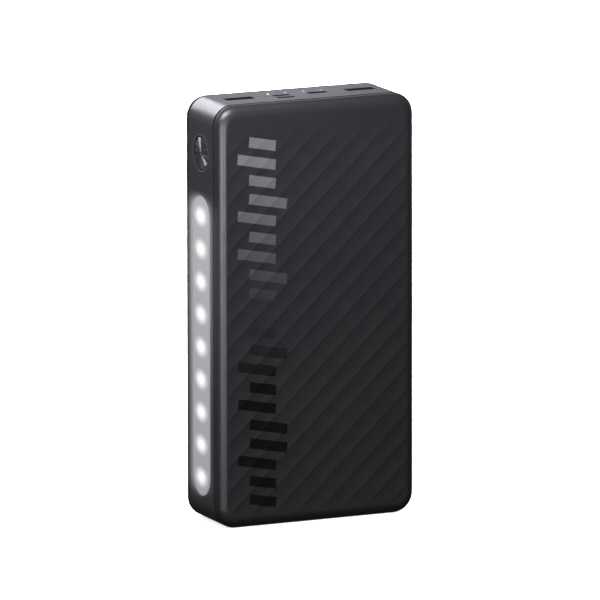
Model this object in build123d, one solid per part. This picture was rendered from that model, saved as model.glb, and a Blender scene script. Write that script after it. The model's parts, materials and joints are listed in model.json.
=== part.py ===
"""Large power bank with a camping-light strip on its narrow left side.

Frame: +Z up, origin at the middle of the footprint, front towards -Y, light strip on -X, sockets on top.
All lengths are millimetres.
"""

from build123d import *
from dataclasses import dataclass
import os

os.makedirs("parts", exist_ok=True)

# Housing
WIDTH = 90.0
HEIGHT = 178.0
FRAME_DEPTH = 24.4
COVER_DEPTH = 5.3
CORNER_R = 8.7
WALL = 2.2
FRAME_EDGE_R = 0.1
SEAM_WIDTH = 1.5
SEAM_INSET = 0.9
COVER_STRAIGHT = 0.05
COVER_EDGE_R = COVER_DEPTH - SEAM_WIDTH - COVER_STRAIGHT
COVER_WALL = 1.8
LIP_FIT = 0.2
LIP_INSET = WALL + LIP_FIT
LIP_WALL = 1.2
LIP_DEPTH = 1.5

# Cutting tools and joined solids
OVER = 1.0
MERGE = 0.5
LAYER_GAP = 0.05

# Light strip
STRIP_WIDTH = 18.0
STRIP_LOW = 11.5
STRIP_HIGH = 138.5
STRIP_SLOT_GAP = 0.05
STRIP_FLANGE = 1.4
DIFFUSER_EDGE_R = 0.35
DIFFUSER_FLANGE_T = 0.9
REFLECTOR_T = 2.5
REFLECTOR_FLOOR_T = 0.6
REFLECTOR_RIM = 1.2
LED_COUNT = 9
LED_Z_LOW = 19.6
LED_Z_HIGH = 129.9
LED_SIZE = (0.8, 2.8, 3.5)
LED_WINDOW_GAP = 0.2
LED_BOARD_T = 1.0
LED_BOARD_WIDTH = 10.0
LED_BOARD_END = 4.0
STRIP_LEAD_R = 0.5
STRIP_LEAD_BEND = 1.1
STRIP_LEAD_GAP = 0.02
STRIP_LEAD_ROUTES = ((1.6, 13.0), (2.9, 15.0))
STRIP_LEAD_LANDING = 2.5

# Power button
BUTTON_Z = 156.4
TRIM_OUTER_R = 7.9
TRIM_INNER_R = 6.7
TRIM_LIP = 0.35
TRIM_SLOPE_DEPTH = 0.5
TRIM_DEPTH = 3.0
TRIM_GAP = 0.05
COLLAR_WALL = 1.3
COLLAR_DEPTH = 2.4
COLLAR_ROOT = 0.5
BUTTON_R = 6.6
BUTTON_FLANGE_R = 7.6
BUTTON_FLANGE_T = 0.8
BUTTON_PLEATS = 11
BUTTON_PLEAT_HEIGHT = 0.5
BUTTON_SETBACK = 0.05
BUTTON_STEM_R = 2.0
BUTTON_TRAVEL = 0.4
RUNNING_GAP = 0.05

# Switch behind the button
SWITCH_SIZE = (3.5, 6.0, 6.0)
PLUNGER_R = 1.4
PLUNGER_OUT = 1.2
PLUNGER_IN = 0.7
PLUNGER_GAP = 0.02
PLUNGER_SPARE = 0.3
SWITCH_GAP = 0.1
TERMINAL_SIZE = (1.6, 0.3, 1.0)
TERMINAL_REACH = 2.0

# Main board, standing in the middle plane
BOARD_T = 1.6
BOARD_LEFT = -31.5
BOARD_RIGHT = 40.5
BOARD_LOW = 141.5
BOARD_HIGH = 174.0
NOTCH_GAP = 0.25
SCREW_XS = (-27.5, 36.5)
SCREW_ZS = (145.0, 157.5)
SCREW_SHANK_R = 0.95
SCREW_HEAD_R = 1.9
SCREW_HEAD_T = 1.3
SCREW_LENGTH = 7.0
SCREW_HOLE_R = 1.15
BOSS_R = 2.5
BOSS_PILOT_R = 1.0

# Sockets in the top wall
SHELL_WALL = 0.3
PORT_GAP = 0.12
USB_A_X = 27.5
MICRO_X = -8.5
USB_C_X = 8.0
EIGHT_PIN_Y = -5.0
SMALL_MOUTH_Z = HEIGHT - 0.7
USB_A_MOUTH_Z = HEIGHT - WALL - 0.1
TAB_REACH = 1.8
TAB_HEIGHT = 2.4
TAB_RISE = 0.4
TONGUE_FIT = 0.03
TONGUE_BLOCK_T = 3.0
TONGUE_BLOCK_SHARE = 0.35
CONTACT_SETBACK = 0.3
DAUGHTER_T = 0.8
DAUGHTER_DROP = 7.0
DAUGHTER_MARGIN = 0.8
PIN_COUNT = 4
PIN_PITCH = 2.54
PIN_SIZE = 0.64
PIN_RISE = 1.5

# Parts on the main board: (x, z, width) or (x, z)
CHIPS = ((-12.0, 150.0, 6.0), (6.0, 151.0, 7.0), (13.5, 154.0, 5.0))
CHIP_T = 1.0
COILS = ((-20.0, 150.0), (-4.0, 146.0), (14.0, 146.5), (29.5, 150.0))
COIL_WIDTH = 7.0
COIL_T = 4.5
COIL_EDGE_R = 1.0
CAPACITORS = ((-13.5, 143.5), (-10.0, 143.5), (2.5, 143.8), (30.0, 143.8), (17.5, 160.0), (-15.0, 157.0))
CAPACITOR_SIZE = (2.0, 1.2, 3.2)
SCREW_SLOT = (2.4, 0.5, 0.6)

# Charge indicator
INDICATOR_XS = (-12.1, -4.03, 4.03, 12.1)
INDICATOR_Y = 5.0
INDICATOR_R = 0.6
INDICATOR_GAP = 0.05
INDICATOR_Z = 167.3
INDICATOR_LED_T = 0.7
INDICATOR_LED_SIZE = (1.6, 0.8)
GUIDE_RISE = 3.0
GUIDE_BAR = 1.0
GUIDE_GAP = 0.2

# Battery
CELL_COUNT = 3
CELL_W = 74.0
CELL_T = 9.0
CELL_H = 127.5
CELL_X = 2.4
CELL_Z = 5.0
CELL_TERRACE = 3.5
CELL_TERRACE_T = 1.0
CELL_EDGE_R = 2.0
PAD_T = 0.7
PAD_GAP = 0.05
PAD_MARGIN = 6.0
TAB_W = 8.0
TAB_T = 0.2
TAB_XS = (CELL_X - 15.0, CELL_X + 15.0)
BAND_T = 0.2
BAND_HEIGHT = 12.0
BAND_ZS = (30.0, 95.0)
DIVIDER_Z = 133.4
DIVIDER_T = 1.2
DIVIDER_REACH = 22.0
DIVIDER_GAP = 0.3
TAB_SLOT_GAPS = (0.6, 0.7)
PROTECTION_Z = 137.6
PROTECTION_SIZE = (62.0, 24.0, 1.2)
PROTECTION_CHIP = (4.0, 4.0, 1.0)
PROTECTION_CHIP_COUNT = 4
PROTECTION_CHIP_PITCH = 6.0
PROTECTION_CHIP_CORNER = (-12.0, 4.0)
BAND_GAP = 0.1
LEAD_R = 1.1
LEAD_BEND = 3.0
LEAD_Y = -7.0
LEAD_TOP = 152.5
LEAD_XS = (20.5, 25.0)
SENSOR_R = 0.55
SENSOR_X = 25.0
SENSOR_DROP = 3.0

FRONT_Y = -FRAME_DEPTH / 2 - COVER_DEPTH
COVER_INSIDE_Y = -FRONT_Y - COVER_WALL
LEFT_X = -WIDTH / 2
WALL_INSIDE_X = LEFT_X + WALL


def save(node, *solids):
    """Write one sub-part; several solids stay separate inside one node."""
    shape = solids[0] if len(solids) == 1 else Compound(children=list(solids))
    export_step(shape, f"parts/{node}.step")


def box(x, y, z):
    """Box from three (low, high) pairs."""
    size = (x[1] - x[0], y[1] - y[0], z[1] - z[0])
    middle = (sum(x) / 2, sum(y) / 2, sum(z) / 2)
    return Pos(*middle) * Box(*size)


def slab_y(outline, low, high):
    """Extrude an (x, z) outline between two y values."""
    return Pos(0, high, 0) * (Plane.XZ * extrude(outline, high - low))


def slab_x(outline, low, high):
    """Extrude a (y, z) outline between two x values."""
    return Pos(low, 0, 0) * (Plane.YZ * extrude(outline, high - low))


def rod_x(radius, low, high, y=0.0, z=0.0):
    """Round rod along X."""
    return slab_x(Pos(y, z) * Circle(radius), low, high)


def rod_y(radius, low, high, x=0.0, z=0.0):
    """Round rod along Y."""
    return slab_y(Pos(x, z) * Circle(radius), low, high)


def housing_outline(inset=0.0):
    """Front view of the housing, drawn in by an inset."""
    rounded = RectangleRounded(WIDTH - 2 * inset, HEIGHT - 2 * inset, CORNER_R - inset)
    return Pos(0, HEIGHT / 2) * rounded


def strip_outline(grow=0.0):
    """Stadium of the light strip seen from the side, grown by a margin."""
    length = STRIP_HIGH - STRIP_LOW + 2 * grow
    width = STRIP_WIDTH + 2 * grow
    return Pos(0, (STRIP_LOW + STRIP_HIGH) / 2) * Rot(0, 0, 90) * SlotOverall(length, width)


@dataclass
class Socket:
    """One socket in the top wall: its opening, its place and what is inside it."""

    name: str
    x: float
    y: float
    opening: tuple
    corner: float
    mouth_z: float
    depth: float
    tongue: tuple
    tongue_y: float
    tongue_drop: float
    contact_xs: tuple
    contact_width: float
    contact_t: float
    contact_sides: tuple = (-1,)

    def outline(self, grow=0.0):
        width, depth = self.opening
        rounded = RectangleRounded(width + 2 * grow, depth + 2 * grow, self.corner + grow)
        return Pos(self.x, self.y) * rounded

    def prism(self, grow, low, high):
        return Pos(0, 0, low) * extrude(self.outline(grow), high - low)

    @property
    def back_z(self):
        return self.mouth_z - self.depth

    @property
    def half_width(self):
        return self.opening[0] / 2 + SHELL_WALL


def spread(count, pitch):
    """Evenly spaced places about zero."""
    return tuple((i - (count - 1) / 2) * pitch for i in range(count))


USB_A_CONTACTS = (-3.5, -1.0, 1.0, 3.5)
USB_A_SHAPE = dict(
    y=0.0, opening=(12.5, 5.12), corner=0.4, mouth_z=USB_A_MOUTH_Z, depth=14.0, tongue=(11.1, 1.84),
    tongue_y=1.0, tongue_drop=2.9, contact_xs=USB_A_CONTACTS, contact_width=1.0, contact_t=0.15,
)
SOCKETS = (
    Socket(name="usb_a_left", x=-USB_A_X, **USB_A_SHAPE),
    Socket(name="usb_a_right", x=USB_A_X, **USB_A_SHAPE),
    Socket(
        name="micro_usb", x=MICRO_X, y=0.0, opening=(6.9, 1.9), corner=0.5, mouth_z=SMALL_MOUTH_Z,
        depth=5.6, tongue=(4.0, 0.6), tongue_y=0.35, tongue_drop=0.9,
        contact_xs=spread(5, 0.65), contact_width=0.35, contact_t=0.1,
    ),
    Socket(
        name="usb_c", x=USB_C_X, y=0.0, opening=(8.34, 2.56), corner=1.27, mouth_z=SMALL_MOUTH_Z,
        depth=7.3, tongue=(6.7, 0.7), tongue_y=0.0, tongue_drop=0.8,
        contact_xs=spread(12, 0.5), contact_width=0.28, contact_t=0.1, contact_sides=(-1, 1),
    ),
    Socket(
        name="eight_pin", x=MICRO_X, y=EIGHT_PIN_Y, opening=(7.5, 1.9), corner=0.9, mouth_z=SMALL_MOUTH_Z,
        depth=7.8, tongue=(6.4, 0.4), tongue_y=0.7, tongue_drop=1.6,
        contact_xs=spread(8, 0.75), contact_width=0.35, contact_t=0.1,
    ),
)


def make_middle_frame():
    """Ring of the housing with its sockets, light strip slot, button collar and bay divider."""
    outer = slab_y(housing_outline(), -FRAME_DEPTH / 2, FRAME_DEPTH / 2)
    for edge_y in (-FRAME_DEPTH / 2, FRAME_DEPTH / 2):
        outer = fillet(outer.edges().filter_by_position(Axis.Y, edge_y, edge_y), FRAME_EDGE_R)
    ring = outer - slab_y(housing_outline(WALL), -FRAME_DEPTH, FRAME_DEPTH)

    divider_y = FRAME_DEPTH / 2 - LIP_DEPTH - DIVIDER_GAP
    slot_x, slot_y = TAB_SLOT_GAPS
    divider = box(
        (TAB_XS[0] - DIVIDER_REACH, WIDTH / 2 - WALL / 2),
        (-divider_y, divider_y),
        (DIVIDER_Z, DIVIDER_Z + DIVIDER_T),
    )
    for x in TAB_XS:
        for y in cell_ys():
            divider -= box(
                (x - TAB_W / 2 - slot_x, x + TAB_W / 2 + slot_x),
                (y - TAB_T / 2 - slot_y, y + TAB_T / 2 + slot_y),
                (DIVIDER_Z - OVER, DIVIDER_Z + DIVIDER_T + OVER),
            )
    ring += divider

    collar_x = (WALL_INSIDE_X - COLLAR_ROOT, WALL_INSIDE_X + COLLAR_DEPTH)
    ring += rod_x(TRIM_OUTER_R + TRIM_GAP + COLLAR_WALL, *collar_x, z=BUTTON_Z)
    ring -= rod_x(TRIM_OUTER_R + TRIM_GAP, LEFT_X - OVER, collar_x[1] + OVER, z=BUTTON_Z)

    ring -= slab_x(strip_outline(STRIP_SLOT_GAP), LEFT_X - OVER, WALL_INSIDE_X + OVER)

    top = (HEIGHT - WALL - OVER, HEIGHT + OVER)
    for socket in SOCKETS:
        recessed = socket.mouth_z < HEIGHT - WALL
        ring -= socket.prism(PORT_GAP if recessed else SHELL_WALL + PORT_GAP, *top)
    for x in INDICATOR_XS:
        ring -= Pos(x, INDICATOR_Y, sum(top) / 2) * Cylinder(INDICATOR_R + INDICATOR_GAP, top[1] - top[0])
    return ring


def make_front_cover():
    """Dished cover with a rounded edge, a shadow seam and a locating lip."""
    seam_y = -FRAME_DEPTH / 2 - SEAM_WIDTH
    skin = slab_y(housing_outline(), FRONT_Y, seam_y)
    skin = fillet(skin.edges().filter_by_position(Axis.Y, FRONT_Y, FRONT_Y), COVER_EDGE_R)
    neck = slab_y(housing_outline(SEAM_INSET), seam_y, -FRAME_DEPTH / 2)
    lip = slab_y(housing_outline(LIP_INSET), -FRAME_DEPTH / 2, -FRAME_DEPTH / 2 + LIP_DEPTH)
    inside = slab_y(housing_outline(LIP_INSET + LIP_WALL), -COVER_INSIDE_Y, 0)
    return skin + neck + lip - inside


def make_rear_cover(front_cover):
    """Mirror image of the front cover, with the bosses that carry the main board."""
    cover = mirror(front_cover, about=Plane.XZ)
    pilot_end = BOARD_T / 2 + SCREW_LENGTH
    for x in SCREW_XS:
        for z in SCREW_ZS:
            cover += rod_y(BOSS_R, BOARD_T / 2, COVER_INSIDE_Y + MERGE, x, z)
            cover -= rod_y(BOSS_PILOT_R, 0, pilot_end, x, z)
    return cover


def make_light_strip():
    """Diffuser, reflector tray, board and lamps, from the outside in."""
    flange_x = WALL_INSIDE_X + LAYER_GAP
    window = slab_x(strip_outline(), LEFT_X, flange_x + DIFFUSER_FLANGE_T / 2)
    window = fillet(window.edges().filter_by_position(Axis.X, LEFT_X, LEFT_X), DIFFUSER_EDGE_R)
    diffuser = window + slab_x(strip_outline(STRIP_FLANGE), flange_x, flange_x + DIFFUSER_FLANGE_T)
    save("light_diffuser", diffuser)

    tray_x = flange_x + DIFFUSER_FLANGE_T + LAYER_GAP
    floor_x = tray_x + REFLECTOR_T - REFLECTOR_FLOOR_T
    tray = slab_x(strip_outline(STRIP_FLANGE), tray_x, tray_x + REFLECTOR_T)
    tray -= slab_x(strip_outline(STRIP_FLANGE - REFLECTOR_RIM), tray_x - OVER, floor_x)

    board_x = tray_x + REFLECTOR_T + LAYER_GAP
    lamps = []
    for i in range(LED_COUNT):
        z = LED_Z_LOW + i * (LED_Z_HIGH - LED_Z_LOW) / (LED_COUNT - 1)
        half_y = LED_SIZE[1] / 2
        half_z = LED_SIZE[2] / 2
        lamps.append(box((board_x - LED_SIZE[0], board_x), (-half_y, half_y), (z - half_z, z + half_z)))
        half_y += LED_WINDOW_GAP
        half_z += LED_WINDOW_GAP
        tray -= box((floor_x - OVER, board_x), (-half_y, half_y), (z - half_z, z + half_z))
    save("light_reflector", tray)
    save("strip_leds", *lamps)

    board_z = (STRIP_LOW + LED_BOARD_END, STRIP_HIGH - LED_BOARD_END)
    board_back = board_x + LED_BOARD_T
    save("led_strip_board", box((board_x, board_back), (-LED_BOARD_WIDTH / 2, LED_BOARD_WIDTH / 2), board_z))

    leads = []
    lead_y = -BOARD_T / 2 - STRIP_LEAD_R - STRIP_LEAD_GAP
    for step, rise in STRIP_LEAD_ROUTES:
        start = (board_back, lead_y, board_z[1] - 2 * step)
        corner = (board_back + step, lead_y, start[2])
        turn = (corner[0], lead_y, board_z[1] + rise)
        end = (BOARD_LEFT + STRIP_LEAD_LANDING, lead_y, turn[2])
        leads.append(make_wire([start, corner, turn, end], STRIP_LEAD_R, STRIP_LEAD_BEND))
    save("strip_leads", *leads)


def make_wire(points, radius, bend):
    """Round wire along straight runs joined by arcs of one bend radius."""
    path = FilletPolyline(*points, radius=bend)
    section = Plane(origin=path @ 0, z_dir=path % 0) * Circle(radius)
    return sweep(section, path=path)


def make_pleated_cap(front, back):
    """Round cap whose front is folded into pleats that rise from its rim to a flush centre."""
    sides = 2 * BUTTON_PLEATS
    reach = BUTTON_R + OVER
    rim = []
    for i in range(sides):
        height = front + (BUTTON_PLEAT_HEIGHT if i % 2 else 0)
        spoke = Vector(0, reach, 0).rotate(Axis.X, 360 * i / sides)
        rim.append(Vector(height, spoke.Y, spoke.Z))
    base = [Vector(back, point.Y, point.Z) for point in rim]
    hub = Vector(front, 0, 0)
    faces = [Face(Wire.make_polygon(base, close=True))]
    for i in range(sides):
        j = (i + 1) % sides
        faces.append(Face(Wire.make_polygon([rim[i], rim[j], hub], close=True)))
        faces.append(Face(Wire.make_polygon([base[i], base[j], rim[j], rim[i]], close=True)))
    cap = Solid(Shell(faces))
    if cap.volume < 0:
        cap = Solid(cap.wrapped.Reversed())
    return Pos(0, 0, BUTTON_Z) * (cap & rod_x(BUTTON_R, front - OVER, back + OVER))


def make_button_and_switch():
    """Power button in its trim ring, and the board-edge switch that it presses."""
    trim_back = LEFT_X + TRIM_DEPTH
    trim = rod_x(TRIM_OUTER_R, LEFT_X, trim_back, z=BUTTON_Z)
    trim -= rod_x(TRIM_INNER_R, LEFT_X - OVER, trim_back + OVER, z=BUTTON_Z)
    slope = Cone(TRIM_OUTER_R - TRIM_LIP, TRIM_INNER_R, TRIM_SLOPE_DEPTH)
    trim -= Pos(LEFT_X + TRIM_SLOPE_DEPTH / 2, 0, BUTTON_Z) * Rot(0, 90, 0) * slope
    save("button_trim_ring", trim)

    switch_face = BOARD_LEFT - SWITCH_SIZE[0] - SWITCH_GAP
    plunger_tip = switch_face - PLUNGER_OUT
    flange_x = trim_back + RUNNING_GAP
    button = make_pleated_cap(LEFT_X + BUTTON_SETBACK, flange_x + BUTTON_FLANGE_T / 2)
    button += rod_x(BUTTON_FLANGE_R, flange_x, flange_x + BUTTON_FLANGE_T, z=BUTTON_Z)
    button += rod_x(BUTTON_STEM_R, flange_x, plunger_tip - PLUNGER_GAP, z=BUTTON_Z)
    save("power_button", button)

    bore_end = switch_face + PLUNGER_IN + BUTTON_TRAVEL + PLUNGER_SPARE
    half = SWITCH_SIZE[1] / 2
    body = box((switch_face, BOARD_LEFT - SWITCH_GAP), (-half, half), (BUTTON_Z - half, BUTTON_Z + half))
    body -= rod_x(PLUNGER_R + RUNNING_GAP, switch_face - OVER, bore_end, z=BUTTON_Z)
    save("switch_body", body)
    save("switch_plunger", rod_x(PLUNGER_R, plunger_tip, switch_face + PLUNGER_IN, z=BUTTON_Z))

    terminals = []
    length, thick, width = TERMINAL_SIZE
    terminal_x = (BOARD_LEFT - SWITCH_GAP, BOARD_LEFT + length)
    terminal_y = (-BOARD_T / 2 - thick, -BOARD_T / 2)
    for z in (BUTTON_Z - TERMINAL_REACH, BUTTON_Z + TERMINAL_REACH):
        terminals.append(box(terminal_x, terminal_y, (z - width / 2, z + width / 2)))
    save("switch_terminals", *terminals)


def make_socket(socket):
    """Steel shell, insulating tongue and contacts of one socket."""
    tab_z = socket.back_z + TAB_RISE
    reach = socket.half_width + TAB_REACH
    shell = socket.prism(SHELL_WALL, socket.back_z, socket.mouth_z)
    shell += box((socket.x - reach, socket.x + reach), tab_layer(socket), (tab_z, tab_z + TAB_HEIGHT))
    shell -= socket.prism(0, socket.back_z - OVER, socket.mouth_z + OVER)
    save(f"{socket.name}_shell", shell)

    block_top = socket.back_z + min(TONGUE_BLOCK_T, socket.depth * TONGUE_BLOCK_SHARE)
    tongue_y = socket.y + socket.tongue_y
    half_w = socket.tongue[0] / 2
    half_t = socket.tongue[1] / 2
    tip = socket.mouth_z - socket.tongue_drop
    block = socket.prism(-TONGUE_FIT, socket.back_z, block_top)
    block += box(
        (socket.x - half_w, socket.x + half_w),
        (tongue_y - half_t, tongue_y + half_t),
        (block_top - MERGE, tip),
    )
    save(f"{socket.name}_tongue", block)

    contacts = []
    for side in socket.contact_sides:
        face = tongue_y + side * half_t
        edge = face + side * socket.contact_t
        for x in socket.contact_xs:
            middle = socket.x + x
            contact_x = (middle - socket.contact_width / 2, middle + socket.contact_width / 2)
            contact_y = (min(face, edge), max(face, edge))
            contacts.append(box(contact_x, contact_y, (block_top, tip - CONTACT_SETBACK)))
    save(f"{socket.name}_contacts", *contacts)


def tab_layer(socket):
    """Thickness of a shell's solder tabs along Y, on the face of its own board."""
    if socket.y:
        near = socket.y - socket.opening[1] / 2 - SHELL_WALL
        return near, near + SHELL_WALL
    return -BOARD_T / 2 - SHELL_WALL, -BOARD_T / 2


def make_boards():
    """Main board with its notches and holes, and the small board of the front input socket."""
    board = box((BOARD_LEFT, BOARD_RIGHT), (-BOARD_T / 2, BOARD_T / 2), (BOARD_LOW, BOARD_HIGH))
    for socket in SOCKETS:
        if socket.y:
            continue
        reach = socket.half_width + NOTCH_GAP
        notch_x = (socket.x - reach, socket.x + reach)
        board -= box(notch_x, (-BOARD_T, BOARD_T), (socket.back_z - NOTCH_GAP, BOARD_HIGH + OVER))
    for x in SCREW_XS:
        for z in SCREW_ZS:
            board -= rod_y(SCREW_HOLE_R, -BOARD_T, BOARD_T, x, z)
    save("main_board", board)

    socket = SOCKETS[-1]
    back = socket.y - socket.opening[1] / 2 - SHELL_WALL
    low = socket.back_z - DAUGHTER_DROP
    half = socket.half_width + TAB_REACH + DAUGHTER_MARGIN
    save(
        "input_daughter_board",
        box((socket.x - half, socket.x + half), (back - DAUGHTER_T, back), (low, BOARD_HIGH)),
    )
    pins = []
    pin_z = (low + PIN_RISE, low + PIN_RISE + PIN_SIZE)
    for x in spread(PIN_COUNT, PIN_PITCH):
        pin_x = (socket.x + x - PIN_SIZE / 2, socket.x + x + PIN_SIZE / 2)
        pins.append(box(pin_x, (back, -BOARD_T / 2), pin_z))
    save("daughter_board_pins", *pins)


def make_board_parts():
    """Chips, coils, capacitors and screws on the main board."""
    face = -BOARD_T / 2
    chips = []
    for x, z, width in CHIPS:
        half = width / 2
        chips.append(box((x - half, x + half), (face - CHIP_T, face), (z - half, z + half)))
    save("controller_chips", *chips)

    coils = []
    half = COIL_WIDTH / 2
    for x, z in COILS:
        coil = box((x - half, x + half), (face - COIL_T, face), (z - half, z + half))
        coils.append(fillet(coil.edges().filter_by(Axis.Y), COIL_EDGE_R))
    save("power_inductors", *coils)

    capacitors = []
    width, thick, height = CAPACITOR_SIZE
    for x, z in CAPACITORS:
        x_range = (x - width / 2, x + width / 2)
        capacitors.append(box(x_range, (face - thick, face), (z - height / 2, z + height / 2)))
    save("capacitors", *capacitors)

    screws = []
    length, width, depth = SCREW_SLOT
    head = face - SCREW_HEAD_T
    for x in SCREW_XS:
        for z in SCREW_ZS:
            screw = rod_y(SCREW_SHANK_R, face, face + SCREW_LENGTH, x, z)
            screw += rod_y(SCREW_HEAD_R, head, face, x, z)
            for across, along in ((length / 2, width / 2), (width / 2, length / 2)):
                screw -= box((x - across, x + across), (head - OVER, head + depth), (z - along, z + along))
            screws.append(screw)
    save("board_screws", *screws)


def make_indicator():
    """Four lamps on the back of the main board, and the clear guide that brings their light to the top."""
    face = BOARD_T / 2
    lamp_end = face + INDICATOR_LED_T
    half_x, half_z = (size / 2 for size in INDICATOR_LED_SIZE)
    lamps = []
    half_bar = GUIDE_BAR / 2
    bar_z = INDICATOR_Z + GUIDE_RISE
    guide = box(
        (INDICATOR_XS[0], INDICATOR_XS[-1]),
        (INDICATOR_Y - half_bar, INDICATOR_Y + half_bar),
        (bar_z - half_bar, bar_z + half_bar),
    )
    rise = HEIGHT - INDICATOR_Z
    for x in INDICATOR_XS:
        lamp_z = (INDICATOR_Z - half_z, INDICATOR_Z + half_z)
        lamps.append(box((x - half_x, x + half_x), (face, lamp_end), lamp_z))
        guide += rod_y(INDICATOR_R, lamp_end + GUIDE_GAP, INDICATOR_Y, x, INDICATOR_Z)
        guide += Pos(x, INDICATOR_Y, INDICATOR_Z) * Sphere(INDICATOR_R)
        guide += Pos(x, INDICATOR_Y, INDICATOR_Z + rise / 2) * Cylinder(INDICATOR_R, rise)
    save("indicator_leds", *lamps)
    save("indicator_light_guide", guide)


def cell_ys():
    """Middle planes of the three stacked cells, front first."""
    return spread(CELL_COUNT, CELL_T + PAD_T + 2 * PAD_GAP)


def make_cell(y):
    """Pouch cell: a soft-edged block with a thin sealed terrace at its top."""
    x = (CELL_X - CELL_W / 2, CELL_X + CELL_W / 2)
    top = CELL_Z + CELL_H - CELL_TERRACE
    pouch = box(x, (y - CELL_T / 2, y + CELL_T / 2), (CELL_Z, top))
    pouch = fillet(pouch.edges().filter_by(Axis.Z), CELL_EDGE_R)
    half = CELL_TERRACE_T / 2
    inset = CELL_EDGE_R
    return pouch + box((x[0] + inset, x[1] - inset), (y - half, y + half), (top - MERGE, CELL_Z + CELL_H))


def make_battery():
    """Cells, pads between and outside them, tabs, wrap bands, protection board and leads."""
    ys = cell_ys()
    for name, y in zip(("cell_front", "cell_middle", "cell_rear"), ys):
        save(name, make_cell(y))

    half_pitch = (ys[1] - ys[0]) / 2
    pad_x = (CELL_X - CELL_W / 2 + PAD_MARGIN, CELL_X + CELL_W / 2 - PAD_MARGIN)
    pad_z = (CELL_Z + PAD_MARGIN, CELL_Z + CELL_H - CELL_TERRACE - PAD_MARGIN)
    outer_y = half_pitch * 3 + BAND_T + PAD_GAP
    pad_ys = {
        "foam_pad_front": -outer_y, "foam_pad_front_middle": -half_pitch,
        "foam_pad_rear_middle": half_pitch, "foam_pad_rear": outer_y,
    }
    for name, y in pad_ys.items():
        save(name, box(pad_x, (y - PAD_T / 2, y + PAD_T / 2), pad_z))

    bands = []
    half_w = CELL_W / 2 + BAND_GAP
    half_t = half_pitch * 2 + CELL_T / 2 + PAD_GAP
    for z in BAND_ZS:
        outline = RectangleRounded(2 * (half_w + BAND_T), 2 * (half_t + BAND_T), CELL_EDGE_R + BAND_T)
        outline -= RectangleRounded(2 * half_w, 2 * half_t, CELL_EDGE_R)
        bands.append(Pos(CELL_X, 0, z) * extrude(outline, BAND_HEIGHT))
    save("cell_wrap_bands", *bands)

    tabs = []
    for x in TAB_XS:
        for y in ys:
            tab_y = (y - TAB_T / 2, y + TAB_T / 2)
            tabs.append(box((x - TAB_W / 2, x + TAB_W / 2), tab_y, (CELL_Z + CELL_H, PROTECTION_Z)))
    save("cell_tabs", *tabs)

    width, depth, thick = PROTECTION_SIZE
    top = PROTECTION_Z + thick
    board_x = (CELL_X - width / 2, CELL_X + width / 2)
    save("protection_board", box(board_x, (-depth / 2, depth / 2), (PROTECTION_Z, top)))
    chips = []
    chip_x, chip_y, chip_t = PROTECTION_CHIP
    first_x, first_y = PROTECTION_CHIP_CORNER
    for x in spread(PROTECTION_CHIP_COUNT, PROTECTION_CHIP_PITCH):
        low_x = first_x + x
        chips.append(box((low_x, low_x + chip_x), (first_y, first_y + chip_y), (top, top + chip_t)))
    save("protection_chips", *chips)

    for name, x in zip(("battery_lead_positive", "battery_lead_negative"), LEAD_XS):
        points = [(x, LEAD_Y, top), (x, LEAD_Y, LEAD_TOP), (x, -BOARD_T / 2, LEAD_TOP)]
        save(name, make_wire(points, LEAD_R, LEAD_BEND))

    sensor_y = ys[0] - CELL_T / 2 - SENSOR_R - PAD_GAP
    sensor_z = CELL_Z + CELL_H - CELL_TERRACE - SENSOR_DROP
    save("thermistor", Pos(CELL_X + SENSOR_X, sensor_y, sensor_z) * Sphere(SENSOR_R))


middle_frame = make_middle_frame()
save("middle_frame", middle_frame)
front_cover = make_front_cover()
save("front_cover", front_cover)
save("rear_cover", make_rear_cover(front_cover))
make_light_strip()
make_button_and_switch()
for socket in SOCKETS:
    make_socket(socket)
make_boards()
make_board_parts()
make_indicator()
make_battery()
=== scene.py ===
import json
import math

import bmesh
import bpy
import numpy as np
from mathutils import Matrix, Vector


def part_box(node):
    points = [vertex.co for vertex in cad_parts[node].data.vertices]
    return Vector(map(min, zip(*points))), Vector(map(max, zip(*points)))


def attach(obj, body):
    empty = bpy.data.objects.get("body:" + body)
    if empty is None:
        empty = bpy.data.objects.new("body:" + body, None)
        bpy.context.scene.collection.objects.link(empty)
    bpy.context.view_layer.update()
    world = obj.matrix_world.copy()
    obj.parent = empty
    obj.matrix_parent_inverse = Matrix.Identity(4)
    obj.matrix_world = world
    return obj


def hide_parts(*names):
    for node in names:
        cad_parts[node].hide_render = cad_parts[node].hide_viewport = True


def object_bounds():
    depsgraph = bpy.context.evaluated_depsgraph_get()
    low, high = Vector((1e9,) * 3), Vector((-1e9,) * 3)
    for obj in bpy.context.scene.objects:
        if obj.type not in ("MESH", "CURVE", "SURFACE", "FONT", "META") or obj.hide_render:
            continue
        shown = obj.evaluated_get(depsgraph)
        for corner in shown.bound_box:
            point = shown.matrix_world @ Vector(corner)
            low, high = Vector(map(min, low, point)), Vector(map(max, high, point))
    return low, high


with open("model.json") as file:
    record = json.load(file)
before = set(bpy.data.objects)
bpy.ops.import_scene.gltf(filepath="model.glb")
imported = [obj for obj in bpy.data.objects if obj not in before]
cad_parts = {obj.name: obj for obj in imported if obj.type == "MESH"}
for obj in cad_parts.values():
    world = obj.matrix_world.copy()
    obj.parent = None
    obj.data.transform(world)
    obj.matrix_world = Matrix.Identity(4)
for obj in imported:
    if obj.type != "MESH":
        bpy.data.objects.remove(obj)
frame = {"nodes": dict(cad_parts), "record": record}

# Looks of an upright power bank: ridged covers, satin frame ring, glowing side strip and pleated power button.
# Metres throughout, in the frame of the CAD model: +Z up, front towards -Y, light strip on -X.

MM = 0.001
cad_low, cad_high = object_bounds()
nodes = frame["nodes"]


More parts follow.
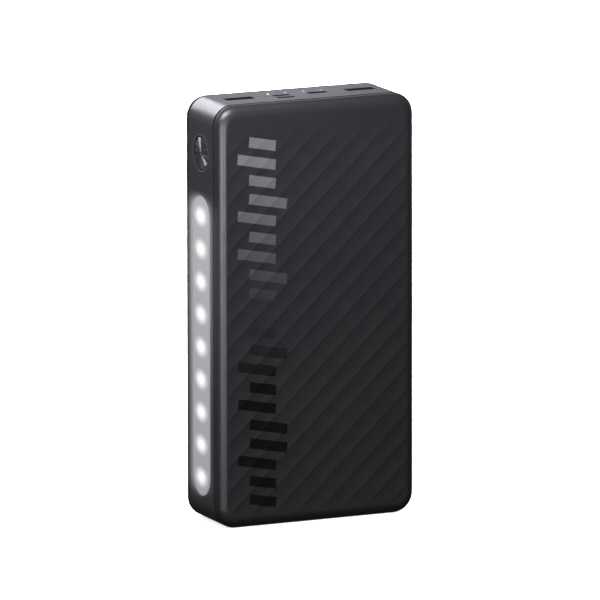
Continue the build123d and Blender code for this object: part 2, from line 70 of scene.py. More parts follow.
def direction(azimuth, elevation):
    """Unit vector towards an azimuth, in degrees anticlockwise from the front, and an elevation."""
    turn, lift = math.radians(azimuth), math.radians(elevation)
    level = math.cos(lift)
    return Vector((math.sin(turn) * level, -math.cos(turn) * level, math.sin(lift)))


def as_object(mesh, name):
    """Scene object from a bmesh, which is freed."""
    data = bpy.data.meshes.new(name)
    mesh.to_mesh(data)
    mesh.free()
    made = bpy.data.objects.new(name, data)
    bpy.context.scene.collection.objects.link(made)
    return made


# ---------------------------------------------------------------- camera

CAMERA_AZIMUTH = -24.5
CAMERA_ELEVATION = 10.94
CAMERA_ROLL = -0.08
CAMERA_DISTANCE = 4.544
CAMERA_LENS = 655.0
CAMERA_AIM = Vector((0.1 * MM, 0, 1.87 * MM))    # from the middle of the body


def make_camera():
    """Long lens from the left front, a little above, aimed just over the middle of the body."""
    back = direction(CAMERA_AZIMUTH, CAMERA_ELEVATION)
    data = bpy.data.cameras.new("camera")
    data.lens = CAMERA_LENS
    camera = bpy.data.objects.new("camera", data)
    bpy.context.scene.collection.objects.link(camera)
    camera.location = (cad_low + cad_high) / 2 + CAMERA_AIM + back * CAMERA_DISTANCE
    facing = (-back).to_track_quat("-Z", "Y").to_matrix()
    roll = Matrix.Rotation(math.radians(CAMERA_ROLL), 3, "Z")
    camera.rotation_euler = (facing @ roll).to_euler()
    bpy.context.scene.camera = camera


# ---------------------------------------------------------------- node materials

PAINTED_SHADOW_ROUGHNESS = 0.55      # added to the roughness where a shadow is painted
# Near-black colour of painted shadow, put on seams, socket walls and the button trim's slope.
PAINTED_SHADOW_COLOUR = (0.0006, 0.0006, 0.0007)
NOISE_SPAN = (0.3, 0.7)    # range that holds most of a noise
CLOUD_SCALE = 38.0         # uneven tone of moulded plastic; all noise scales are in cycles per metre
TONE_SPREAD = 0.12
GLOSS_SCALE = 160.0        # its uneven gloss
GLOSS_SPREAD = (-0.03, 0.04)
GRAIN_SCALE = 2600.0       # its spark-eroded grain
GRAIN_HEIGHT = 0.012 * MM
METAL_GRAIN_SCALE = 900.0
METAL_GRAIN_STRETCH = (1.0, 1.0, 24.0)
METAL_GRAIN_HEIGHT = 0.01 * MM
METAL_GLOSS_SPREAD = (-0.08, 0.1)
METAL_NOISE_SPAN = (0.25, 0.75)
METAL_SHADE = 0.78         # darkest tone of the grain, as a share of the colour


class Graph:
    """A small helper that builds one node material."""

    def __init__(self, name):
        self.material = bpy.data.materials.new(name)
        self.material.use_nodes = True
        self.tree = self.material.node_tree
        self.shader = self.tree.nodes["Principled BSDF"]
        self.place = self.tree.nodes.new("ShaderNodeNewGeometry").outputs["Position"]

    def node(self, kind, **settings):
        made = self.tree.nodes.new(kind)
        for key, value in settings.items():
            setattr(made, key, value)
        return made

    def feed(self, socket, value):
        """Link a socket, or set a plain value."""
        if isinstance(value, bpy.types.NodeSocket):
            self.tree.links.new(value, socket)
        else:
            socket.default_value = value

    def math(self, operation, *values):
        made = self.node("ShaderNodeMath", operation=operation)
        for socket, value in zip(made.inputs, values):
            self.feed(socket, value)
        return made.outputs[0]

    def product(self, first, *others):
        """All the values multiplied."""
        for value in others:
            first = self.math("MULTIPLY", first, value)
        return first

    def length(self, first, second):
        """Length of the vector with these two components."""
        squares = self.math("ADD", self.math("POWER", first, 2.0), self.math("POWER", second, 2.0))
        return self.math("SQRT", squares)

    def clamp(self, value, low, high):
        return self.math("MINIMUM", self.math("MAXIMUM", value, low), high)

    def axis(self, name):
        """X, Y or Z of the shaded point."""
        made = self.node("ShaderNodeSeparateXYZ")
        self.feed(made.inputs[0], self.place)
        return made.outputs[name]

    def noise(self, scale, detail=3.0, roughness=0.5, stretch=None):
        """Noise at the shaded point, with a scale in cycles per metre."""
        vector = self.place
        if stretch is not None:
            scaled = self.node("ShaderNodeVectorMath", operation="MULTIPLY")
            self.feed(scaled.inputs[0], self.place)
            scaled.inputs[1].default_value = stretch
            vector = scaled.outputs[0]
        made = self.node("ShaderNodeTexNoise")
        self.feed(made.inputs["Vector"], vector)
        made.inputs["Scale"].default_value = scale
        made.inputs["Detail"].default_value = detail
        made.inputs["Roughness"].default_value = roughness
        return made.outputs["Fac"]

    def remap(self, value, low, high, to_low, to_high, smooth=False):
        made = self.node("ShaderNodeMapRange", clamp=True)
        if smooth:
            made.interpolation_type = "SMOOTHSTEP"
        for socket, number in zip(made.inputs, (value, low, high, to_low, to_high)):
            self.feed(socket, number)
        return made.outputs[0]

    def spread(self, noise, low, high):
        """Noise drawn out to fill the range from low to high."""
        return self.remap(noise, *NOISE_SPAN, low, high)

    def mix(self, factor, first, second):
        """Blend of two colours, each a link or a plain triple."""
        made = self.node("ShaderNodeMix", data_type="RGBA")
        self.feed(made.inputs["Factor"], factor)
        self.feed(made.inputs["A"], first if isinstance(first, bpy.types.NodeSocket) else (*first, 1.0))
        self.feed(made.inputs["B"], second if isinstance(second, bpy.types.NodeSocket) else (*second, 1.0))
        return made.outputs["Result"]

    def bump(self, height, strength, distance):
        made = self.node("ShaderNodeBump")
        made.inputs["Strength"].default_value = strength
        made.inputs["Distance"].default_value = distance
        self.feed(made.inputs["Height"], height)
        self.feed(self.shader.inputs["Normal"], made.outputs["Normal"])

    def shade(self, mask):
        """Paint shade: turn the masked part black and matt, as a painted shadow in a seam, once colour and
        roughness are linked.
        """
        colour = self.shader.inputs["Base Color"].links[0].from_socket
        rough = self.shader.inputs["Roughness"].links[0].from_socket
        shaded = self.math("ADD", rough, self.math("MULTIPLY", mask, PAINTED_SHADOW_ROUGHNESS))
        self.set(Base_Color=self.mix(mask, colour, PAINTED_SHADOW_COLOUR), Roughness=shaded)

    def set(self, **values):
        """Set shader sockets by name, with underscores for spaces."""
        for key, value in values.items():
            socket = self.shader.inputs[key.replace("_", " ")]
            if isinstance(value, tuple) and len(value) == 3 and socket.type == "RGBA":
                value = (*value, 1.0)
            self.feed(socket, value)
        return self


def moulded(name, colour, roughness, grain=GRAIN_SCALE, specular=0.5):
    """Moulded plastic: fine spark-eroded grain, slightly uneven tone and gloss."""
    g = Graph(name)
    light = tuple(c * (1 + TONE_SPREAD) for c in colour)
    dark = tuple(c * (1 - TONE_SPREAD) for c in colour)
    g.set(Base_Color=g.mix(g.noise(CLOUD_SCALE, 4.0), dark, light))
    g.set(Roughness=g.spread(g.noise(GLOSS_SCALE), *(roughness + change for change in GLOSS_SPREAD)))
    g.set(Specular_IOR_Level=specular)
    g.bump(g.noise(grain, 2.0), strength=0.35, distance=GRAIN_HEIGHT)
    return g


def metal(name, colour, roughness):
    """Drawn or plated metal with a directional brushed grain."""
    g = Graph(name)
    grain = g.noise(METAL_GRAIN_SCALE, 3.0, 0.6, stretch=METAL_GRAIN_STRETCH)
    dark = tuple(c * METAL_SHADE for c in colour)
    g.set(Metallic=1.0, Base_Color=g.mix(grain, dark, colour))
    rough = (roughness + change for change in METAL_GLOSS_SPREAD)
    g.set(Roughness=g.remap(grain, *METAL_NOISE_SPAN, *rough))
    g.bump(grain, strength=0.2, distance=METAL_GRAIN_HEIGHT)
    return g


# ---------------------------------------------------------------- light strip and the painted glow round it

STRIP_HALF = 9.0 * MM      # half the width of the window
STRIP_FLANGE = 1.4 * MM    # hidden rim of the diffuser, outside the window
LAMP_HALF = 1.75 * MM
LAMP_COUNT = 9
SPOT_WIDENING = 1.48       # a lamp's spot is this much wider than it is tall
SPOT_REACH = 5.5 * MM
RIM_WIDTH = 1.3 * MM
RIB_PITCH = 1.8 * MM
GLOW_SPOT = 0.75
GLOW_BASE = 0.14
GLOW_RIM = 0.12            # how much weaker the glow is at the rim
GLOW_RIB = 0.008
GLOW_COLOUR = (1.0, 1.0, 0.99)
FROST_SCALE = 420.0
FROST_TONES = ((0.2, 0.2, 0.2), (0.24, 0.24, 0.24))
FROST_ROUGHNESS = (0.36, 0.46)
FROST_GRAIN_SCALE = 900.0
FROST_GRAIN_HEIGHT = 0.02 * MM
ACRYLIC_IOR = 1.49
# Painted light: emission on the plastic round the strip, in place of the light it throws there.
HAZE_COLOUR = (0.86, 0.93, 1.0)
HAZE_REACH = 2.6 * MM
HAZE_HEIGHTS = (35 * MM, 125 * MM)
HAZE_FRONT = (0.054, 0.27)      # strength in front of the strip, at those two heights
HAZE_REAR = (0.24, 0.4)         # strength behind it
HAZE_TOP_FADE = (0.5, 1.3)      # where it ends beyond the strip's centre line, in half widths
HAZE_FOOT_FADE = (0.3, 1.3)


def strip_line():
    """Lowest and highest point of the strip's centre line."""
    low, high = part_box("light_diffuser")
    return low.z + STRIP_FLANGE + STRIP_HALF, high.z - STRIP_FLANGE - STRIP_HALF


def strip_distance(g):
    """Distance from the strip's centre line, in the plane of the side wall."""
    z = g.axis("Z")
    return g.length(g.math("SUBTRACT", z, g.clamp(z, *strip_line())), g.axis("Y"))


def painted_strip_glow(g):
    """Painted light: glow on the plastic round the strip, standing in for the light that the strip throws on
    it, stronger behind it and weaker towards the foot.
    """
    away = g.math("DIVIDE", g.math("SUBTRACT", strip_distance(g), STRIP_HALF), HAZE_REACH)
    fall = g.math("EXPONENT", g.math("MULTIPLY", g.math("MAXIMUM", away, 0.0), -1.0))
    z = g.axis("Z")
    front = g.remap(z, *HAZE_HEIGHTS, *HAZE_FRONT, smooth=True)
    rear = g.remap(z, *HAZE_HEIGHTS, *HAZE_REAR, smooth=True)
    behind = g.math("GREATER_THAN", g.axis("Y"), 0.0)
    level = g.math("ADD", front, g.math("MULTIPLY", behind, g.math("SUBTRACT", rear, front)))
    low, high = strip_line()
    top_start, top_end = (high + STRIP_HALF * share for share in HAZE_TOP_FADE)
    foot_start, foot_end = (low - STRIP_HALF * share for share in HAZE_FOOT_FADE)
    top = g.remap(z, top_start, top_end, 1.0, 0.0, smooth=True)
    foot = g.remap(z, foot_end, foot_start, 0.0, 1.0, smooth=True)
    return g.product(fall, level, g.math("MULTIPLY", top, foot))


def glow_look():
    """Frosted diffuser lit from behind by a row of lamps, with fine ribs and a dimmer rounded rim."""
    g = Graph("diffuser_plastic")
    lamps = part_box("strip_leds")
    low, high = lamps[0].z + LAMP_HALF, lamps[1].z - LAMP_HALF
    pitch = (high - low) / (LAMP_COUNT - 1)
    lane = g.math("DIVIDE", g.math("SUBTRACT", g.axis("Z"), low), pitch)
    nearest = g.clamp(g.math("ROUND", lane), 0.0, float(LAMP_COUNT - 1))
    off_z = g.math("MULTIPLY", g.math("SUBTRACT", lane, nearest), pitch)
    off_y = g.math("DIVIDE", g.axis("Y"), SPOT_WIDENING)
    spot = g.remap(g.length(off_z, off_y), 0.0, SPOT_REACH, GLOW_SPOT, 0.0, smooth=True)
    rim = g.remap(strip_distance(g), STRIP_HALF - RIM_WIDTH, STRIP_HALF, 0.0, -GLOW_RIM)
    ribs = g.math("SINE", g.math("MULTIPLY", g.axis("Y"), 2 * math.pi / RIB_PITCH))
    base = g.math("ADD", g.math("MULTIPLY", ribs, GLOW_RIB), GLOW_BASE)
    frost = g.noise(FROST_SCALE)
    g.set(Base_Color=g.mix(frost, *FROST_TONES), Roughness=g.spread(frost, *FROST_ROUGHNESS), IOR=ACRYLIC_IOR)
    g.set(Emission_Color=GLOW_COLOUR, Emission_Strength=g.math("ADD", spot, g.math("ADD", rim, base)))
    g.bump(g.noise(FROST_GRAIN_SCALE, 2.0), strength=0.25, distance=FROST_GRAIN_HEIGHT)
    return g


# ---------------------------------------------------------------- ridged covers

CORNER_R = 8.7 * MM
CORNER_STEPS = 14
COVER_STRAIGHT = 0.05 * MM   # straight side between the seam neck and the rounded edge
SEAM_INSET = 0.9 * MM
EDGE_DROP = 3.75 * MM        # how far the rounded edge comes back from the face
EDGE_REACH = 5.3 * MM        # how far in from the outline the rounding reaches
EDGE_STEPS = 16
RIDGE_ANGLE = math.radians(43.5)
RIDGE_PITCH = 7.32 * MM
RIDGE_START = 3.99 * MM      # height at which a step line crosses x = 0
RIDGE_HOLLOW = 0.135 * MM    # depth of the hollow between two crests
RIDGE_STEP = 0.035 * MM      # extra drop just above each crest
RIDGE_STEP_SHARE = 0.16      # share of the pitch that the drop takes
RIDGE_SHARES = (0.0, 0.03, 0.06, 0.09, 0.12, 0.16, 0.22, 0.3, 0.4, 0.5, 0.6, 0.7, 0.8, 0.9, 0.96)
RIDGE_CLEAR = 0.02 * MM      # how far the crests lie behind the plain face
RIDGE_COLUMN = 1.0 * MM      # step of the ridges' mesh along x
TOP_FADE = (7 * MM, 22 * MM)     # the ridges rise over this distance from the top edge
BOTTOM_FADE = (3 * MM, 9 * MM)   # and from the bottom edge
SIDE_START = 3.0 * MM            # at the left they start this far in
SIDE_REACH = 2.4 * MM            # and reach their full depth over this distance
CUTTER_MARGIN = 2 * MM       # how far the cutter stands out past the outline
CUTTER_BACK = 1 * MM         # and past the face
SHARP_ANGLE = math.radians(28)


def smoothstep(low, high, value):
    t = np.clip((value - low) / (high - low), 0.0, 1.0)
    return t * t * (3 - 2 * t)


def rounded_outline(inset):
    """Points of the housing's rounded rectangle in (x, z), anticlockwise, drawn in by an inset."""
    radius = CORNER_R - inset
    half_x = cad_high.x - inset - radius
    low_z = cad_low.z + inset + radius
    high_z = cad_high.z - inset - radius
    centres = ((half_x, low_z, -90), (half_x, high_z, 0), (-half_x, high_z, 90), (-half_x, low_z, 180))
    points = []
    for x, z, start in centres:
        for i in range(CORNER_STEPS + 1):
            angle = math.radians(start + 90 * i / CORNER_STEPS)
            points.append((x + radius * math.cos(angle), z + radius * math.sin(angle)))
    return points


def edge_profile():
    """(inset, depth behind the face) of the soft edge, from the straight side to the flat face."""
    turns = [math.pi / 2 * i / EDGE_STEPS for i in range(EDGE_STEPS + 1)]
    return [(EDGE_REACH * (1 - math.cos(turn)), EDGE_DROP * (1 - math.sin(turn))) for turn in turns]


def cover_blank(name, face_y, joint_y, inward):
    """Closed smooth body of one cover: seam neck, straight side, soft edge and flat face."""
    neck_y = face_y + inward * (EDGE_DROP + COVER_STRAIGHT)
    profile = [(SEAM_INSET, joint_y), (SEAM_INSET, neck_y), (0.0, neck_y)]
    profile += [(inset, face_y + inward * depth) for inset, depth in edge_profile()]
    mesh = bmesh.new()
    loops = [[mesh.verts.new((x, y, z)) for x, z in rounded_outline(inset)] for inset, y in profile]
    count = len(loops[0])
    for lower, upper in zip(loops, loops[1:]):
        for i in range(count):
            j = (i + 1) % count
            mesh.faces.new((lower[i], lower[j], upper[j], upper[i]))
    mesh.faces.new(loops[0])
    mesh.faces.new(loops[-1])
    bmesh.ops.recalc_face_normals(mesh, faces=mesh.faces)
    return as_object(mesh, name)


def hollow_depth(share):
    """Depth of the hollow at a share of the way from its upper crest to its lower one."""
    step = smoothstep(0.0, RIDGE_STEP_SHARE, share) - share
    return 4 * RIDGE_HOLLOW * share * (1 - share) + RIDGE_STEP * step


def ridge_cutter(face_y, inward):
    """Closed block over the face: slanted shingle bands that fade out near its edges."""
    tangent = math.tan(RIDGE_ANGLE)
    rise = RIDGE_PITCH / math.cos(RIDGE_ANGLE)
    xs = np.arange(cad_low.x - CUTTER_MARGIN, cad_high.x + CUTTER_MARGIN, RIDGE_COLUMN)
    first_band = math.floor((cad_low.z - CUTTER_MARGIN - xs[-1] * tangent) / rise) - 1
    last_band = math.ceil((cad_high.z + CUTTER_MARGIN - xs[0] * tangent) / rise) + 1
    sides = np.sin(math.pi / 2 * np.clip((xs - cad_low.x - SIDE_START) / SIDE_REACH, 0.0, 1.0))
    mesh = bmesh.new()
    face_rows, back_rows = [], []
    for band in range(first_band, last_band):
        # Each band is a shallow hollow between two crests, steepest just below its upper crest.
        for share in reversed(RIDGE_SHARES):
            z = (band + 1 - share) * rise + RIDGE_START + xs * tangent
            fade = smoothstep(*BOTTOM_FADE, z - cad_low.z) * smoothstep(*TOP_FADE, cad_high.z - z)
            y = face_y + inward * (RIDGE_CLEAR + hollow_depth(share) * fade * sides)
            back_y = face_y - inward * CUTTER_BACK
            face_rows.append([mesh.verts.new(point) for point in zip(xs, y, z)])
            back_rows.append([mesh.verts.new((x, back_y, height)) for x, height in zip(xs, z)])
    last = len(xs) - 1
    for a, b, c, d in zip(face_rows, face_rows[1:], back_rows, back_rows[1:]):
        for i in range(last):
            mesh.faces.new((a[i], a[i + 1], b[i + 1], b[i]))
            mesh.faces.new((c[i], d[i], d[i + 1], c[i + 1]))
        mesh.faces.new((a[0], b[0], d[0], c[0]))
        mesh.faces.new((a[last], c[last], d[last], b[last]))
    for a, c in ((face_rows[0], back_rows[0]), (face_rows[-1], back_rows[-1])):
        for i in range(last):
            mesh.faces.new((a[i], a[i + 1], c[i + 1], c[i]))
    bmesh.ops.recalc_face_normals(mesh, faces=mesh.faces)
    return as_object(mesh, "ridge_cutter")


def make_cover(name, node, face_y, joint_y, material):
    """One ridged cover in place of its plain CAD cover."""
    inward = 1 if joint_y > face_y else -1
    cover = cover_blank(name, face_y, joint_y, inward)
    cutter = ridge_cutter(face_y, inward)
    cut = cover.modifiers.new("cut", "BOOLEAN")
    cut.operation = "DIFFERENCE"
    cut.object = cutter
    cut.solver = "EXACT"
    graph = bpy.context.evaluated_depsgraph_get()
    data = bpy.data.meshes.new_from_object(cover.evaluated_get(graph))
    cover.modifiers.clear()
    cover.data = data
    bpy.data.objects.remove(cutter)
    data.shade_smooth()
    data.set_sharp_from_angle(angle=SHARP_ANGLE)
    data.materials.clear()
    data.materials.append(material)
    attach(cover, "root")
    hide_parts(node)


# ---------------------------------------------------------------- lights and floor

LIGHTS = (
    # Name, azimuth, elevation, distance, size, power, and whether the body mirrors it.
    ("back_high", 186, 40, 1.8, (2.4, 0.9), 9.5, True),
    ("back_low", 190, 26, 1.6, (1.2, 0.4), 12.4, True),
    ("edge_front", -13, -1.5, 0.9, (0.2, 0.26), 2.6, True),
    ("edge_left", -36, -1.5, 0.9, (0.22, 0.26), 3.7, True),
    ("top_near", -25, 58, 0.3, (0.16, 0.12), 2.5, False),
    ("top_left", -40, 50, 0.6, (0.3, 0.3), 6.4, True),
    ("side", -127, 4.0, 0.9, (0.12, 0.08), 0.36, True),
    ("left", -100, 30, 0.9, (0.4, 0.4), 0.5, True),
    ("right", 112, 6, 1.2, (0.5, 0.5), 0.9, True),
    ("rear", 163, 1, 1.2, (0.4, 0.3), 2.2, True),
    ("rear_fill", 148, 12, 1.2, (0.5, 0.5), 45.0, False),
)
LIGHT_COLOUR = (0.93, 0.93, 1.0)
LIGHT_AIM = Vector((0, 0, 0.09))
ROOM_GLOW = 0.03
FLOOR_RADIUS = 3.2
FLOOR_SIDES = 96
FLOOR_TONES = ((0.9, 0.9, 0.9), (0.93, 0.93, 0.93))
FLOOR_GLOW = 0.75
WHITE = (1.0, 1.0, 1.0)


def add_lamp(name, azimuth, elevation, distance, size, power, mirrored):
    """Soft rectangular lamp, aimed at the body, that the camera doesn't see directly."""
    data = bpy.data.lights.new(name, "AREA")
    data.shape = "RECTANGLE"
    data.size, data.size_y = size
    data.energy = power
    data.color = LIGHT_COLOUR
    lamp = bpy.data.objects.new(name, data)
    bpy.context.scene.collection.objects.link(lamp)
    towards = direction(azimuth, elevation)
    lamp.location = LIGHT_AIM + towards * distance
    lamp.rotation_euler = (-towards).to_track_quat("-Z", "Y").to_euler()
    lamp.visible_camera = False
    lamp.visible_glossy = mirrored


def make_stage():
    """Plain pale floor, soft studio lights and a dim room."""
    scene = bpy.context.scene
    scene.view_settings.view_transform = "Standard"
    world = bpy.data.worlds.new("world")
    scene.world = world
    world.use_nodes = True
    background = world.node_tree.nodes["Background"]
    background.inputs["Color"].default_value = (*WHITE, 1.0)
    background.inputs["Strength"].default_value = ROOM_GLOW

    mesh = bmesh.new()
    bmesh.ops.create_circle(mesh, cap_ends=True, segments=FLOOR_SIDES, radius=FLOOR_RADIUS)
    floor = as_object(mesh, "floor")
    g = Graph("floor_paper")
    g.set(Base_Color=g.mix(g.noise(30.0, 4.0), *FLOOR_TONES), Roughness=0.8)
    g.set(Specular_IOR_Level=0.1, Emission_Color=WHITE, Emission_Strength=FLOOR_GLOW)
    floor.data.materials.append(g.material)
    # The white floor doesn't light the dark body from below.
    floor.visible_glossy = False
    floor.visible_diffuse = False

    for light in LIGHTS:
        add_lamp(*light)


# ---------------------------------------------------------------- looks of the covers and the frame ring

COVER_TONES = ((0.0072, 0.0072, 0.0078), (0.009, 0.009, 0.0097))
COVER_ROUGHNESS = (0.33, 0.38)
COVER_HAZE = (0.5 * MM, 2.5 * MM)   # the strip's painted glow fades over this distance in from the left side
NECK_CLEAR = 0.01 * MM              # the painted seam shadow starts this far behind the cover's straight side
GRAPHIC_X = (-31 * MM, -19 * MM)    # ends of a short bar
GRAPHIC_FOOT = 10 * MM
GRAPHIC_PITCH = 7.92 * MM
GRAPHIC_COUNT = 20
GRAPHIC_DUTY = 0.56                 # height of a bar, as a share of the pitch
GRAPHIC_SLANT = math.tan(math.radians(11))
GRAPHIC_LEAN = 0.8 * MM             # sideways shift of a bar's ends over one pitch
# A bar reaches further at one end where the fraction of its number times the first value is over the second.
LONG_LEFT = (0.382, 0.62, -5.2 * MM)
LONG_RIGHT = (0.237, 0.7, 5.0 * MM)
INK_DARK = (0.0015, 0.0015, 0.0015)
INK_DARK_FADE = (60 * MM, 88 * MM)
INK_DARK_GLOSS = 0.1
INK_LIGHT = (0.054, 0.054, 0.0575)
INK_LIGHT_FADE = (92 * MM, 150 * MM)
FRAME_TONE = (0.019, 0.019, 0.0205)
FRAME_ROUGHNESS = 0.36
FRAME_GRAIN_SCALE = 3200.0
SIDE_WALL = 1 * MM                  # the side wall's face is within this of the body's left side
SEAM_SHADE = 0.12 * MM              # rim of the frame ring painted black as seam shadow
SEAM_HAZE_LOSS = 0.6
SOCKET_SHADE = (0.05 * MM, 2.2 * MM)    # walls of the sockets' openings, painted black as shade, in depth below the top


def bar_reach(g, number, step, threshold, reach):
    """How much further a bar reaches at one end: the whole reach or nothing."""
    long = g.math("GREATER_THAN", g.math("FRACT", g.math("MULTIPLY", number, step)), threshold)
    return g.math("MULTIPLY", long, reach)


def graphic_mask(g, x, y, z):
    """Ladder of plain slanted bars up the left of the front cover."""
    slant = g.math("MULTIPLY", g.math("SUBTRACT", x, GRAPHIC_X[0]), GRAPHIC_SLANT)
    lane = g.math("DIVIDE", g.math("SUBTRACT", g.math("ADD", z, slant), GRAPHIC_FOOT), GRAPHIC_PITCH)
    number = g.math("FLOOR", lane)
    within = g.math("FRACT", lane)
    along = g.math("SUBTRACT", x, g.math("MULTIPLY", within, GRAPHIC_LEAN))
    left = g.math("ADD", bar_reach(g, number, *LONG_LEFT), GRAPHIC_X[0])
    right = g.math("ADD", bar_reach(g, number, *LONG_RIGHT), GRAPHIC_X[1])
    return g.product(
        g.math("LESS_THAN", within, GRAPHIC_DUTY),
        g.math("GREATER_THAN", along, left),
        g.math("LESS_THAN", along, right),
        g.math("GREATER_THAN", number, -0.5),
        g.math("LESS_THAN", number, GRAPHIC_COUNT - 0.5),
        g.math("LESS_THAN", y, 0.0),
    )


def cover_look():
    """Satin black cover plastic, with the printed graphic, faint painted glow from the strip, and painted
    shadow on the neck in the seam.
    """
    g = Graph("cover_plastic")
    tone = g.mix(g.noise(CLOUD_SCALE, 4.0), *COVER_TONES)
    x, y, z = g.axis("X"), g.axis("Y"), g.axis("Z")
    printed = graphic_mask(g, x, y, z)
    dark_part = g.remap(z, *INK_DARK_FADE, 1.0, 0.0)
    light_part = g.remap(z, *INK_LIGHT_FADE, 0.0, 1.0)
    ink = g.mix(dark_part, g.mix(light_part, tone, INK_LIGHT), INK_DARK)
    rough = g.spread(g.noise(GLOSS_SCALE), *COVER_ROUGHNESS)
    gloss = g.product(printed, dark_part, INK_DARK_GLOSS)
    g.set(Base_Color=g.mix(printed, tone, ink), Roughness=g.math("SUBTRACT", rough, gloss))
    g.set(Specular_IOR_Level=0.5)
    # Painted light: the strip's glow on the cover near its left side.
    near = g.remap(x, cad_low.x + COVER_HAZE[0], cad_low.x + COVER_HAZE[1], 1.0, 0.0, smooth=True)
    g.set(Emission_Color=HAZE_COLOUR, Emission_Strength=g.math("MULTIPLY", painted_strip_glow(g), near))
    # Painted shadow: the cover's neck inside the seam turned black and matt.
    neck = cad_high.y - EDGE_DROP - COVER_STRAIGHT - NECK_CLEAR
    g.shade(g.math("LESS_THAN", g.math("ABSOLUTE", y), neck))
    g.bump(g.noise(GRAIN_SCALE, 2.0), strength=0.3, distance=GRAIN_HEIGHT)
    return g


def frame_look():
    """Satin dark frame plastic, with faint painted glow from the light strip round it, and painted shadow in
    seams and sockets.
    """
    g = moulded("frame_plastic", FRAME_TONE, FRAME_ROUGHNESS, grain=FRAME_GRAIN_SCALE)
    # Painted light: the strip's glow on the side wall, weaker on the rim in the seam.
    side = g.math("LESS_THAN", g.axis("X"), cad_low.x + SIDE_WALL)
    ring_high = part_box("middle_frame")[1]
    seam = g.math("GREATER_THAN", g.math("ABSOLUTE", g.axis("Y")), ring_high.y - SEAM_SHADE)
    lit = g.math("MULTIPLY", side, g.math("SUBTRACT", 1.0, g.math("MULTIPLY", seam, SEAM_HAZE_LOSS)))
    g.set(Emission_Color=HAZE_COLOUR, Emission_Strength=g.math("MULTIPLY", painted_strip_glow(g), lit))
    # Painted shadow: the ring's rim in the seam and the walls of the sockets' openings turned black and matt.
    below = g.math("LESS_THAN", g.axis("Z"), cad_high.z - SOCKET_SHADE[0])
    above = g.math("GREATER_THAN", g.axis("Z"), cad_high.z - SOCKET_SHADE[1])
    inside = g.math("LESS_THAN", g.math("ABSOLUTE", g.axis("X")), cad_high.x - CORNER_R)
    g.shade(g.math("MAXIMUM", seam, g.product(below, above, inside)))
    return g


# ---------------------------------------------------------------- looks of the power button

TRIM_LIP_R = 7.56 * MM     # inside this the trim ring slopes down to the button, and is painted black as shade
TRIM_TONE = (0.075, 0.075, 0.078)
TRIM_ROUGHNESS = 0.36
PLATING_SCALE = 700.0
PLATING_TONES = ((0.13, 0.13, 0.134), (0.17, 0.17, 0.174))
PLATING_ROUGHNESS = (0.19, 0.23)
SPUN_PITCH = 0.22 * MM
SPUN_ROUGHNESS = 0.015


def from_button(g):
    """Distance from the button's axis, in the plane of the side wall."""
    low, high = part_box("button_trim_ring")
    return g.length(g.math("SUBTRACT", g.axis("Z"), (low.z + high.z) / 2), g.axis("Y"))


def trim_look():
    """Thin light lip, with painted shadow on the slope inside it."""
    g = moulded("trim_metal", TRIM_TONE, TRIM_ROUGHNESS)
    # Painted shadow: the slope inside the lip turned black and matt.
    g.shade(g.math("LESS_THAN", from_button(g), TRIM_LIP_R))
    return g


def button_look():
    """Dark vacuum-plated plastic with a fine spun grain."""
    g = Graph("button_plastic")
    rings = g.math("SINE", g.math("MULTIPLY", from_button(g), 2 * math.pi / SPUN_PITCH))
    cloud = g.noise(PLATING_SCALE)
    g.set(Metallic=0.85, Base_Color=g.mix(cloud, *PLATING_TONES))
    spun = g.math("MULTIPLY", rings, SPUN_ROUGHNESS)
    g.set(Roughness=g.math("ADD", g.spread(cloud, *PLATING_ROUGHNESS), spun))
    return g


# ---------------------------------------------------------------- looks of the parts inside

TRACK_SCALE = 260.0
TRACK_WIDTH = 0.03
MASK_TONES = ((0.012, 0.09, 0.04), (0.014, 0.11, 0.05))
TRACK_TONE = (0.03, 0.2, 0.08)
FOAM_CELL_SCALE = 1400.0
FOAM_TONES = ((0.02, 0.02, 0.022), (0.07, 0.07, 0.075))
WRINKLE_SCALE = 120.0
WRINKLE_STRETCH = (1.0, 1.0, 0.4)
FILM_TONES = ((0.5, 0.51, 0.53), (0.68, 0.69, 0.71))


def circuit_look():
    """Green solder mask with paler copper tracks running in a rough grid under it."""
    g = Graph("circuit_board")
    tracks = g.node("ShaderNodeTexBrick")
    g.feed(tracks.inputs["Vector"], g.place)
    tracks.inputs["Scale"].default_value = TRACK_SCALE
    tracks.inputs["Mortar Size"].default_value = TRACK_WIDTH
    for name, tone in zip(("Color1", "Color2", "Mortar"), (*MASK_TONES, TRACK_TONE)):
        tracks.inputs[name].default_value = (*tone, 1.0)
    g.set(Base_Color=tracks.outputs["Color"], Roughness=g.spread(g.noise(300.0), 0.3, 0.42))
    g.bump(g.noise(1500.0), strength=0.15, distance=0.01 * MM)
    return g


def foam_look():
    """Open-cell foam."""
    g = Graph("foam")
    cells = g.node("ShaderNodeTexVoronoi")
    g.feed(cells.inputs["Vector"], g.place)
    cells.inputs["Scale"].default_value = FOAM_CELL_SCALE
    depth = cells.outputs["Distance"]
    g.set(Base_Color=g.mix(depth, *FOAM_TONES), Roughness=0.95)
    g.bump(depth, strength=0.7, distance=0.15 * MM)
    return g


def pouch_look():
    """Aluminium laminate film: soft wrinkles under a dull metallic skin."""
    g = Graph("cell_pouch")
    wrinkles = g.noise(WRINKLE_SCALE, 5.0, 0.6, stretch=WRINKLE_STRETCH)
    g.set(Metallic=0.9, Base_Color=g.mix(wrinkles, *FILM_TONES), Roughness=g.spread(wrinkles, 0.3, 0.45))
    g.bump(wrinkles, strength=0.4, distance=0.15 * MM)
    return g


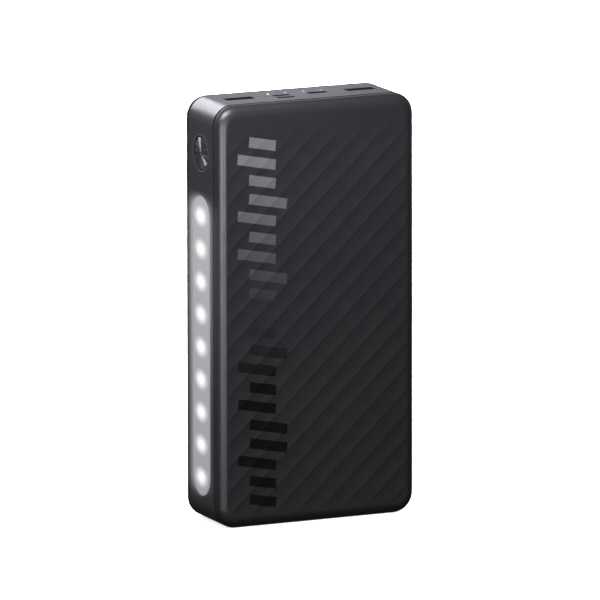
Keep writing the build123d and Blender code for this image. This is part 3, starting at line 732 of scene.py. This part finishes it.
def make_looks():
    """One procedural material for each material slot of the record."""
    return {
        "cover_plastic": cover_look(),
        "frame_plastic": frame_look(),
        "trim_metal": trim_look(),
        "button_plastic": button_look(),
        "diffuser_plastic": glow_look(),
        "reflector_plastic": moulded("reflector_plastic", (0.75, 0.75, 0.74), 0.45),
        "circuit_board": circuit_look(),
        "led_package": moulded("led_package", (0.8, 0.72, 0.35), 0.35),
        "clear_plastic": moulded("clear_plastic", (0.55, 0.56, 0.58), 0.3),
        # Socket shells: steel darkened to near black, as painted shade inside the socket openings.
        "shell_steel": metal("shell_steel", (0.05, 0.05, 0.052), 0.4),
        "insulator_plastic": moulded("insulator_plastic", (0.004, 0.004, 0.0042), 0.5, specular=0.2),
        "contact_gold": metal("contact_gold", (0.72, 0.5, 0.2), 0.3),
        "chip_resin": moulded("chip_resin", (0.018, 0.018, 0.02), 0.55),
        "ferrite": moulded("ferrite", (0.06, 0.058, 0.055), 0.6),
        "ceramic_chip": moulded("ceramic_chip", (0.5, 0.36, 0.22), 0.45),
        "screw_steel": metal("screw_steel", (0.5, 0.5, 0.5), 0.32),
        "nickel_strip": metal("nickel_strip", (0.62, 0.6, 0.55), 0.35),
        "plunger_plastic": moulded("plunger_plastic", (0.05, 0.05, 0.05), 0.5),
        "wrap_tape": moulded("wrap_tape", (0.62, 0.38, 0.08), 0.35),
        "cell_pouch": pouch_look(),
        "foam": foam_look(),
        "wire_red": moulded("wire_red", (0.5, 0.02, 0.02), 0.45),
        "wire_black": moulded("wire_black", (0.02, 0.02, 0.02), 0.45),
        "wire_white": moulded("wire_white", (0.7, 0.7, 0.68), 0.45),
    }


def main():
    make_camera()
    make_stage()
    looks = make_looks()
    for row in frame["record"]["subparts"]:
        piece = nodes[row["node"]]
        piece.data.materials.clear()
        piece.data.materials.append(looks[row["material_slot"]].material)
    ring_low, ring_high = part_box("middle_frame")
    cover_material = looks["cover_plastic"].material
    make_cover("ridged_front_cover", "front_cover", cad_low.y, ring_low.y, cover_material)
    make_cover("ridged_rear_cover", "rear_cover", cad_high.y, ring_high.y, cover_material)


main()
